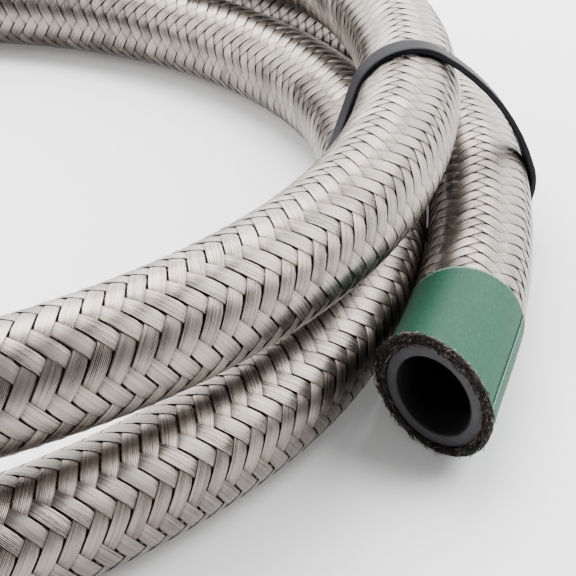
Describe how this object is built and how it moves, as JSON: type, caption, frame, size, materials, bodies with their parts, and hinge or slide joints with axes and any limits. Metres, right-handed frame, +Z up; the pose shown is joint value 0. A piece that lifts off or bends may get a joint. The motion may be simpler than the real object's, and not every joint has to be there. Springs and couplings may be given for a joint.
{
  "type": "braided steel hose",
  "caption": "Flexible hose with a woven steel braid over a rubber tube, lying in a flat coil held by a cable tie, with tape around its cut ends",
  "frame": {"origin": "middle of the coil's footprint, on the surface that it lies on", "axes": "+Z up, out of the flat coil; the cable tie crosses the strands on the +X side, and the front cut end points towards -Y"},
  "size_m": [0.2964, 0.2854, 0.0432],
  "materials": {
    "steel_braid": "woven bright stainless wire, satin",
    "rubber": "matte, freshly cut at the ends",
    "end_tape": "green cloth tape, slight sheen",
    "cable_tie": "black nylon, satin"
  },
  "bodies": {
    "root": {"rubber_tube": "rubber", "steel_braid": "steel_braid", "front_end_tape": "end_tape", "rear_end_tape": "end_tape", "cable_tie": "cable_tie"}
  },
  "joints": []
}
